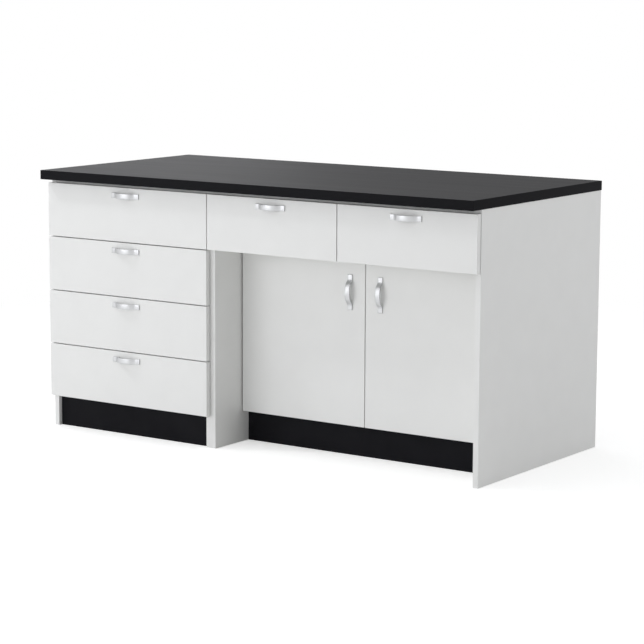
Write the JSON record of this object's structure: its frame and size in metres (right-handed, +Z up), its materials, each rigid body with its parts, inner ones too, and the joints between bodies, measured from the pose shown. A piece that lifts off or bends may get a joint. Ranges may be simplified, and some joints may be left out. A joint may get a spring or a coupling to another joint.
{
  "type": "lab bench",
  "caption": "Base lab bench: a drawer column and a recessed two-door cupboard with drawers above, under one black worktop, with bow handles and black plinths.",
  "frame": {"origin": "on the floor, under the middle of the worktop, which is the bottom centre of the whole box", "axes": "+X along the bench from the drawer column to the cupboard, +Y to the back, +Z up"},
  "size_m": [1.636, 0.784, 0.85],
  "materials": {
    "white_melamine_board": "white melamine-faced board with matching edge banding, fine satin texture",
    "black_laminate_worktop": "black laminate-faced board, satin, with faint straight grain along its length",
    "black_plinth_board": "black melamine-faced board, satin",
    "white_coated_steel": "white epoxy powder coat",
    "satin_aluminium": "bright satin anodised",
    "nickel_plated_steel": "nickel plated",
    "drawer_base_board": "white melamine-faced board",
    "white_back_panel": "white melamine-faced board"
  },
  "bodies": {
    "carcass": {"worktop": "black_laminate_worktop", "left_unit_left_side": "white_melamine_board", "left_unit_right_side": "white_melamine_board", "left_unit_bottom": "white_melamine_board", "left_unit_front_rail": "white_melamine_board", "left_unit_rear_rail": "white_melamine_board", "left_unit_back": "white_back_panel", "left_unit_plinth": "black_plinth_board", "right_unit_left_side": "white_melamine_board", "right_unit_right_side": "white_melamine_board", "right_unit_bottom": "white_melamine_board", "right_unit_front_rail": "white_melamine_board", "right_unit_rear_rail": "white_melamine_board", "right_unit_back": "white_back_panel", "right_unit_plinth": "black_plinth_board", "right_unit_divider": "white_melamine_board", "right_unit_partition": "white_melamine_board", "cupboard_shelf": "white_melamine_board", "shelf_pins": "nickel_plated_steel", "cabinet_runners": "white_coated_steel", "hinge_arms": "nickel_plated_steel", "worktop_screws": "nickel_plated_steel", "unit_connectors": "nickel_plated_steel"},
    "left_drawer_1": {"left_drawer_1_front": "white_melamine_board", "left_drawer_1_side_walls": "white_coated_steel", "left_drawer_1_bottom": "drawer_base_board", "left_drawer_1_back": "drawer_base_board", "left_drawer_1_handle": "satin_aluminium"},
    "left_drawer_2": {"left_drawer_2_front": "white_melamine_board", "left_drawer_2_side_walls": "white_coated_steel", "left_drawer_2_bottom": "drawer_base_board", "left_drawer_2_back": "drawer_base_board", "left_drawer_2_handle": "satin_aluminium"},
    "left_drawer_3": {"left_drawer_3_front": "white_melamine_board", "left_drawer_3_side_walls": "white_coated_steel", "left_drawer_3_bottom": "drawer_base_board", "left_drawer_3_back": "drawer_base_board", "left_drawer_3_handle": "satin_aluminium"},
    "left_drawer_4": {"left_drawer_4_front": "white_melamine_board", "left_drawer_4_side_walls": "white_coated_steel", "left_drawer_4_bottom": "drawer_base_board", "left_drawer_4_back": "drawer_base_board", "left_drawer_4_handle": "satin_aluminium"},
    "middle_drawer": {"middle_drawer_front": "white_melamine_board", "middle_drawer_side_walls": "white_coated_steel", "middle_drawer_bottom": "drawer_base_board", "middle_drawer_back": "drawer_base_board", "middle_drawer_handle": "satin_aluminium"},
    "right_drawer": {"right_drawer_front": "white_melamine_board", "right_drawer_side_walls": "white_coated_steel", "right_drawer_bottom": "drawer_base_board", "right_drawer_back": "drawer_base_board", "right_drawer_handle": "satin_aluminium"},
    "left_door": {"left_door_panel": "white_melamine_board", "left_door_handle": "satin_aluminium", "left_door_hinge_cups": "nickel_plated_steel"},
    "right_door": {"right_door_panel": "white_melamine_board", "right_door_handle": "satin_aluminium", "right_door_hinge_cups": "nickel_plated_steel"}
  },
  "joints": [
    {"name": "left_drawer_1_slide", "type": "slide", "parent": "carcass", "child": "left_drawer_1", "axis": [0, -1, 0], "range_m": [0, 0.42]},
    {"name": "left_drawer_2_slide", "type": "slide", "parent": "carcass", "child": "left_drawer_2", "axis": [0, -1, 0], "range_m": [0, 0.42]},
    {"name": "left_drawer_3_slide", "type": "slide", "parent": "carcass", "child": "left_drawer_3", "axis": [0, -1, 0], "range_m": [0, 0.42]},
    {"name": "left_drawer_4_slide", "type": "slide", "parent": "carcass", "child": "left_drawer_4", "axis": [0, -1, 0], "range_m": [0, 0.42]},
    {"name": "middle_drawer_slide", "type": "slide", "parent": "carcass", "child": "middle_drawer", "axis": [0, -1, 0], "range_m": [0, 0.42]},
    {"name": "right_drawer_slide", "type": "slide", "parent": "carcass", "child": "right_drawer", "axis": [0, -1, 0], "range_m": [0, 0.42]},
    {"name": "left_door_hinge", "type": "hinge", "parent": "carcass", "child": "left_door", "pos_m": [-0.132, -0.191, 0.367], "axis": [0, 0, -1], "range_deg": [0, 90]},
    {"name": "right_door_hinge", "type": "hinge", "parent": "carcass", "child": "right_door", "pos_m": [0.782, -0.191, 0.367], "axis": [0, 0, 1], "range_deg": [0, 90]}
  ]
}
